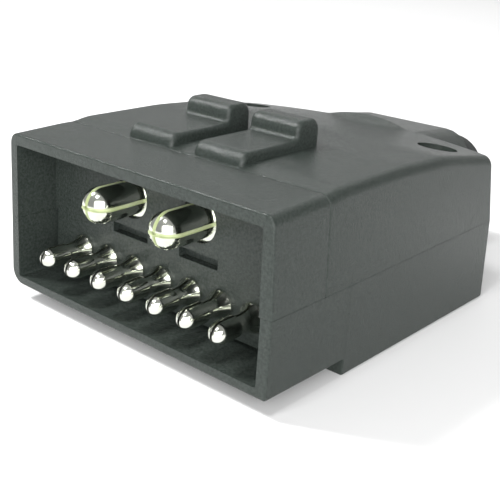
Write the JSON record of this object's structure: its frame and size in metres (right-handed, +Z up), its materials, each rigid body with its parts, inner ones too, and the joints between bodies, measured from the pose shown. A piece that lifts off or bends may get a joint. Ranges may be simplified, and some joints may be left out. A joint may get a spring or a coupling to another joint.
{
  "type": "trailer wiring connector",
  "caption": "Flat trailer wiring plug: a rectangular open mouth with a row of small contact pins under two larger ones, a lift-off cover with stepped latch ribs, and a cable spout.",
  "frame": {"origin": "middle of the bounding box on the plane that the plug rests on", "axes": "+Y from the open mouth towards the cable, +Z up from the resting face, +X across the plug to the right, seen from the mouth"},
  "size_m": [0.0554, 0.0841, 0.0329],
  "materials": {
    "shell": "fine sandy moulded grain, charcoal black",
    "carrier": "fine sandy moulded grain, charcoal black",
    "retainer": "smooth moulded, dark grey",
    "rubber": "soft dark rubber",
    "pin": "bright nickel plate over brass",
    "screw": "zinc-plated steel"
  },
  "bodies": {
    "housing": {"lower_housing": "shell", "pin_carrier": "carrier", "small_pin_retainer": "retainer", "large_pin_retainer": "retainer", "cable_boot": "rubber", "small_pin_1": "pin", "small_pin_2": "pin", "small_pin_3": "pin", "small_pin_4": "pin", "small_pin_5": "pin", "small_pin_6": "pin", "small_pin_7": "pin", "large_pin_left": "pin", "large_pin_right": "pin"},
    "cover": {"top_cover": "shell"},
    "cable_clamp": {"cable_clamp": "retainer"},
    "cover_screw_left": {"cover_screw_left": "screw"},
    "cover_screw_right": {"cover_screw_right": "screw"},
    "clamp_screw_left": {"clamp_screw_left": "screw"},
    "clamp_screw_right": {"clamp_screw_right": "screw"},
    "small_terminal_screw_1": {"small_terminal_screw_1": "screw"},
    "small_terminal_screw_2": {"small_terminal_screw_2": "screw"},
    "small_terminal_screw_3": {"small_terminal_screw_3": "screw"},
    "small_terminal_screw_4": {"small_terminal_screw_4": "screw"},
    "small_terminal_screw_5": {"small_terminal_screw_5": "screw"},
    "small_terminal_screw_6": {"small_terminal_screw_6": "screw"},
    "small_terminal_screw_7": {"small_terminal_screw_7": "screw"},
    "large_terminal_screw_left": {"large_terminal_screw_left": "screw"},
    "large_terminal_screw_right": {"large_terminal_screw_right": "screw"}
  },
  "joints": [
    {"name": "cover_lift", "type": "slide", "parent": "housing", "child": "cover", "axis": [0, 0, 1], "range_m": [0, 0.03]},
    {"name": "cover_screw_left_withdraw", "type": "slide", "parent": "cover", "child": "cover_screw_left", "axis": [0, 0, 1], "range_m": [0, 0.022]},
    {"name": "cover_screw_right_withdraw", "type": "slide", "parent": "cover", "child": "cover_screw_right", "axis": [0, 0, 1], "range_m": [0, 0.022]},
    {"name": "clamp_open", "type": "slide", "parent": "housing", "child": "cable_clamp", "axis": [0, 0, 1], "range_m": [0, 0.0015]},
    {"name": "clamp_screw_left_back_out", "type": "slide", "parent": "housing", "child": "clamp_screw_left", "axis": [0, 0, 1], "range_m": [0, 0.0015]},
    {"name": "clamp_screw_right_back_out", "type": "slide", "parent": "housing", "child": "clamp_screw_right", "axis": [0, 0, 1], "range_m": [0, 0.0015]},
    {"name": "small_terminal_screw_1_back_out", "type": "slide", "parent": "housing", "child": "small_terminal_screw_1", "axis": [0, 0, 1], "range_m": [0, 0.002]},
    {"name": "small_terminal_screw_2_back_out", "type": "slide", "parent": "housing", "child": "small_terminal_screw_2", "axis": [0, 0, 1], "range_m": [0, 0.002]},
    {"name": "small_terminal_screw_3_back_out", "type": "slide", "parent": "housing", "child": "small_terminal_screw_3", "axis": [0, 0, 1], "range_m": [0, 0.002]},
    {"name": "small_terminal_screw_4_back_out", "type": "slide", "parent": "housing", "child": "small_terminal_screw_4", "axis": [0, 0, 1], "range_m": [0, 0.002]},
    {"name": "small_terminal_screw_5_back_out", "type": "slide", "parent": "housing", "child": "small_terminal_screw_5", "axis": [0, 0, 1], "range_m": [0, 0.002]},
    {"name": "small_terminal_screw_6_back_out", "type": "slide", "parent": "housing", "child": "small_terminal_screw_6", "axis": [0, 0, 1], "range_m": [0, 0.002]},
    {"name": "small_terminal_screw_7_back_out", "type": "slide", "parent": "housing", "child": "small_terminal_screw_7", "axis": [0, 0, 1], "range_m": [0, 0.002]},
    {"name": "large_terminal_screw_left_back_out", "type": "slide", "parent": "housing", "child": "large_terminal_screw_left", "axis": [0, 0, 1], "range_m": [0, 0.0012]},
    {"name": "large_terminal_screw_right_back_out", "type": "slide", "parent": "housing", "child": "large_terminal_screw_right", "axis": [0, 0, 1], "range_m": [0, 0.0012]}
  ],
  "couplings": [
    {"joint": "clamp_screw_left_back_out", "follows": "clamp_open", "ratio": 1},
    {"joint": "clamp_screw_right_back_out", "follows": "clamp_open", "ratio": 1}
  ]
}
